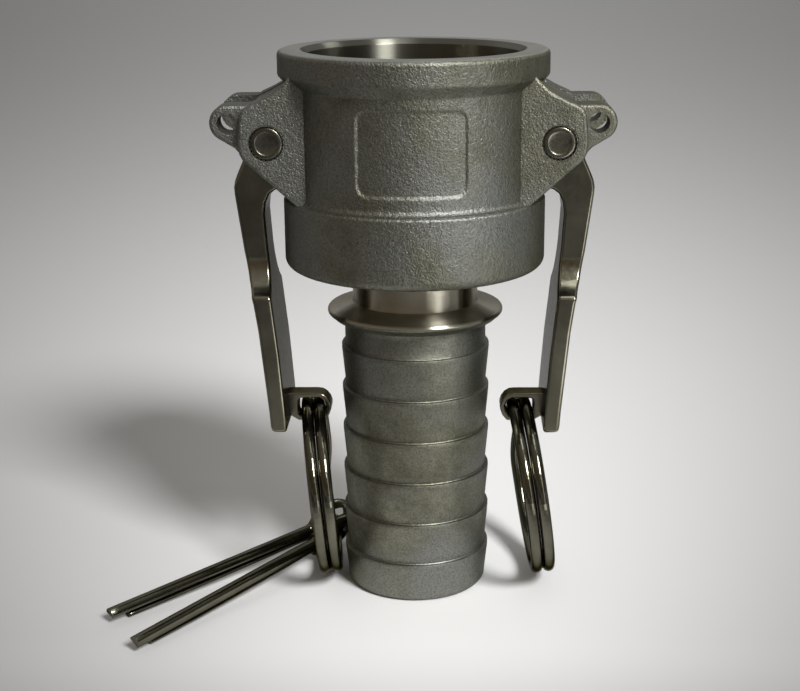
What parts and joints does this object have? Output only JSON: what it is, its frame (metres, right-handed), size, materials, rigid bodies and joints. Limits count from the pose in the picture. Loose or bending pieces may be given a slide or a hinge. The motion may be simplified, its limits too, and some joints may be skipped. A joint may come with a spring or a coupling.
{
  "type": "cam and groove hose coupling",
  "caption": "Cam and groove coupler: a cup with two cam levers and their pull rings, a gasket seat, and a barbed hose shank below.",
  "frame": {"origin": "on the coupler's axis, at the end face of the hose shank", "axes": "+Z along the axis towards the cup's mouth, +X through the right lever, -Y towards the viewer of the picture"},
  "size_m": [0.0905, 0.0578, 0.1],
  "materials": {
    "cast_steel": "cast and blasted stainless steel, turned in the bore, neck and flange",
    "lever_steel": "polished stainless casting",
    "pin_steel": "drawn stainless bar",
    "wire_steel": "bright stainless wire",
    "gasket_rubber": "black nitrile rubber"
  },
  "bodies": {
    "coupler": {"coupler_body": "cast_steel", "gasket": "gasket_rubber", "lever_pin_left": "pin_steel", "lever_pin_right": "pin_steel"},
    "left_lever": {"lever_left": "lever_steel"},
    "right_lever": {"lever_right": "lever_steel"},
    "left_ring": {"pull_ring_left": "wire_steel"},
    "right_ring": {"pull_ring_right": "wire_steel"},
    "first_safety_pin": {"safety_pin_1": "wire_steel"},
    "second_safety_pin": {"safety_pin_2": "wire_steel"}
  },
  "joints": [
    {"name": "left_lever_hinge", "type": "hinge", "parent": "coupler", "child": "left_lever", "pos_m": [-0.025, 0, 0.085], "axis": [0, 1, 0], "range_deg": [0, 90]},
    {"name": "right_lever_hinge", "type": "hinge", "parent": "coupler", "child": "right_lever", "pos_m": [0.025, 0, 0.085], "axis": [0, -1, 0], "range_deg": [0, 90]},
    {"name": "left_ring_swing", "type": "hinge", "parent": "left_lever", "child": "left_ring", "pos_m": [-0.0192, 0, 0.03445], "axis": [0, 1, 0], "range_deg": [0, 25]},
    {"name": "right_ring_swing", "type": "hinge", "parent": "right_lever", "child": "right_ring", "pos_m": [0.0192, 0, 0.03445], "axis": [0, -1, 0], "range_deg": [-12, 12]},
    {"name": "first_safety_pin_hinge", "type": "hinge", "parent": "left_ring", "child": "first_safety_pin", "pos_m": [-0.01755, 0.01158, 0.00534], "axis": [-0.6632, 0.7026, 0.2581], "range_deg": [0, 35]},
    {"name": "second_safety_pin_hinge", "type": "hinge", "parent": "left_ring", "child": "second_safety_pin", "pos_m": [-0.01688, 0.00625, 0.00518], "axis": [-0.6646, 0.4805, 0.5722], "range_deg": [0, 35]}
  ]
}
